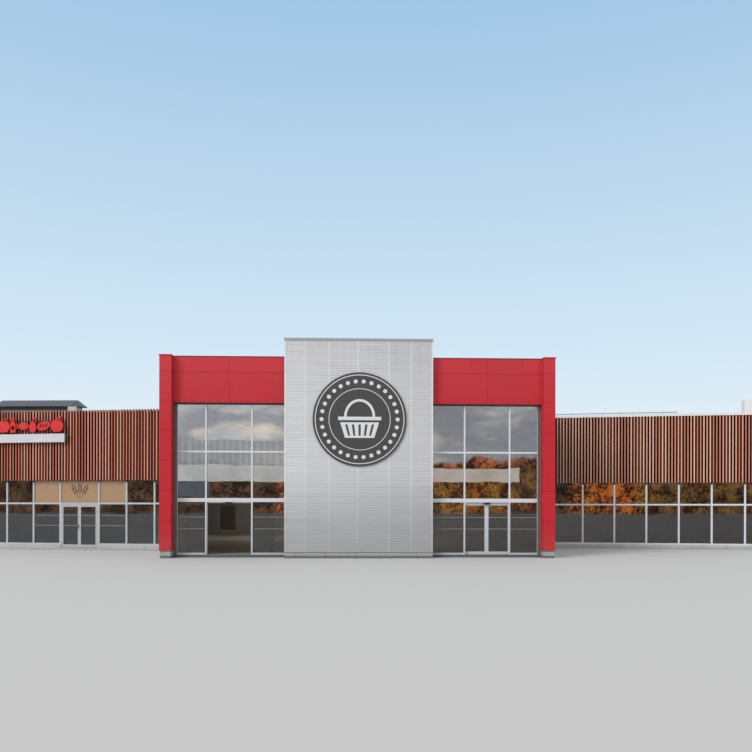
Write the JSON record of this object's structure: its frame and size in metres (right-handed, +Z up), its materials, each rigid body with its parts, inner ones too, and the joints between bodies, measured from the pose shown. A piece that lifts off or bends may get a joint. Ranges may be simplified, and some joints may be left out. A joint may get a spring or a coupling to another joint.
{
  "type": "supermarket building",
  "caption": "Low supermarket hall with an angled glazed entrance block, grey tower, red pillars and fascias, slatted timber screens, sliding entrance doors and a hinged side door.",
  "frame": {"origin": "on the ground in the middle of the entrance block, on the line of its glass, 0.6 m behind the faces of its tower and pillars", "axes": "+X runs along the wings to the right as seen from outside, +Y into the building, +Z up. The entrance block is turned 11 degrees about +Z against these axes."},
  "size_m": [39.9, 26.2115, 9.27],
  "materials": {
    "floor_concrete": "smooth grey floor slab",
    "wall_board": "dark backing board",
    "grey_cladding": "waved light grey sheet",
    "pale_concrete": "pale cast concrete",
    "red_cladding": "satin red panels",
    "roof_sheet": "grey roofing sheet",
    "white_frame": "powder coated aluminium",
    "window_glass": "clear float glass",
    "beige_panel": "satin beige panel",
    "dark_wall": "dark wind barrier board",
    "timber_slats": "stained timber",
    "white_trim": "white coated sheet",
    "eave_metal": "dark grey ribbed sheet",
    "rail_steel": "galvanised tube",
    "dark_fitting": "black fittings"
  },
  "bodies": {
    "building": {"portal_floor": "floor_concrete", "left_wing_floor": "floor_concrete", "hall_floor": "floor_concrete", "tower_front_wall": "wall_board", "tower_cladding": "grey_cladding", "tower_side_walls": "grey_cladding", "tower_upper_walls": "grey_cladding", "tower_rear_wall": "grey_cladding", "portal_side_walls": "grey_cladding", "portal_upper_wall": "grey_cladding", "portal_rear_wall": "grey_cladding", "end_walls": "grey_cladding", "rear_wall": "grey_cladding", "entrance_footings": "pale_concrete", "wing_plinths": "pale_concrete", "raised_corner_pier": "pale_concrete", "red_pillars": "red_cladding", "red_fascias": "red_cladding", "entrance_roofs": "roof_sheet", "left_wing_roof": "roof_sheet", "hall_roof": "roof_sheet", "entrance_mullions": "white_frame", "entrance_rails": "white_frame", "door_tracks": "white_frame", "window_mullions": "white_frame", "window_rails": "white_frame", "shop_door_frame": "white_frame", "side_window_frames": "white_frame", "entrance_glass": "window_glass", "window_glass": "window_glass", "shop_panels": "beige_panel", "wing_walls": "dark_wall", "raised_front_walls": "dark_wall", "raised_side_walls": "dark_wall", "left_slat_screen": "timber_slats", "right_slat_screen": "timber_slats", "wall_copings": "white_trim", "roof_box": "white_trim", "tower_trims": "white_trim", "door_sensors": "dark_fitting", "metal_eave": "eave_metal", "guard_rail": "rail_steel"},
    "left_entrance_left_leaf": {"left_entrance_left_leaf": "white_frame", "left_entrance_left_pane": "window_glass"},
    "left_entrance_right_leaf": {"left_entrance_right_leaf": "white_frame", "left_entrance_right_pane": "window_glass"},
    "right_entrance_left_leaf": {"right_entrance_left_leaf": "white_frame", "right_entrance_left_pane": "window_glass"},
    "right_entrance_right_leaf": {"right_entrance_right_leaf": "white_frame", "right_entrance_right_pane": "window_glass"},
    "shop_door_left_leaf": {"shop_door_left_leaf": "white_frame", "shop_door_left_pane": "window_glass", "shop_door_handle": "dark_fitting"},
    "shop_door_right_leaf": {"shop_door_right_leaf": "white_frame", "shop_door_right_pane": "window_glass"}
  },
  "joints": [
    {"name": "left_entrance_slide", "type": "slide", "parent": "building", "child": "left_entrance_left_leaf", "axis": [0.9816, 0.1908, 0], "range_m": [0, 0.92]},
    {"name": "left_entrance_right_slide", "type": "slide", "parent": "building", "child": "left_entrance_right_leaf", "axis": [0.9816, 0.1908, 0], "range_m": [-0.92, 0]},
    {"name": "right_entrance_slide", "type": "slide", "parent": "building", "child": "right_entrance_right_leaf", "axis": [0.9816, 0.1908, 0], "range_m": [0, 0.92]},
    {"name": "right_entrance_left_slide", "type": "slide", "parent": "building", "child": "right_entrance_left_leaf", "axis": [0.9816, 0.1908, 0], "range_m": [-0.92, 0]},
    {"name": "shop_door_left_hinge", "type": "hinge", "parent": "building", "child": "shop_door_left_leaf", "pos_m": [-15.668, 2.9097, 1.17], "axis": [0, 0, 1], "range_deg": [-90, 0]},
    {"name": "shop_door_right_hinge", "type": "hinge", "parent": "building", "child": "shop_door_right_leaf", "pos_m": [-13.764, 2.9097, 1.17], "axis": [0, 0, 1], "range_deg": [0, 90]}
  ],
  "couplings": [
    {"joint": "left_entrance_right_slide", "follows": "left_entrance_slide", "ratio": -1},
    {"joint": "right_entrance_left_slide", "follows": "right_entrance_slide", "ratio": -1}
  ]
}
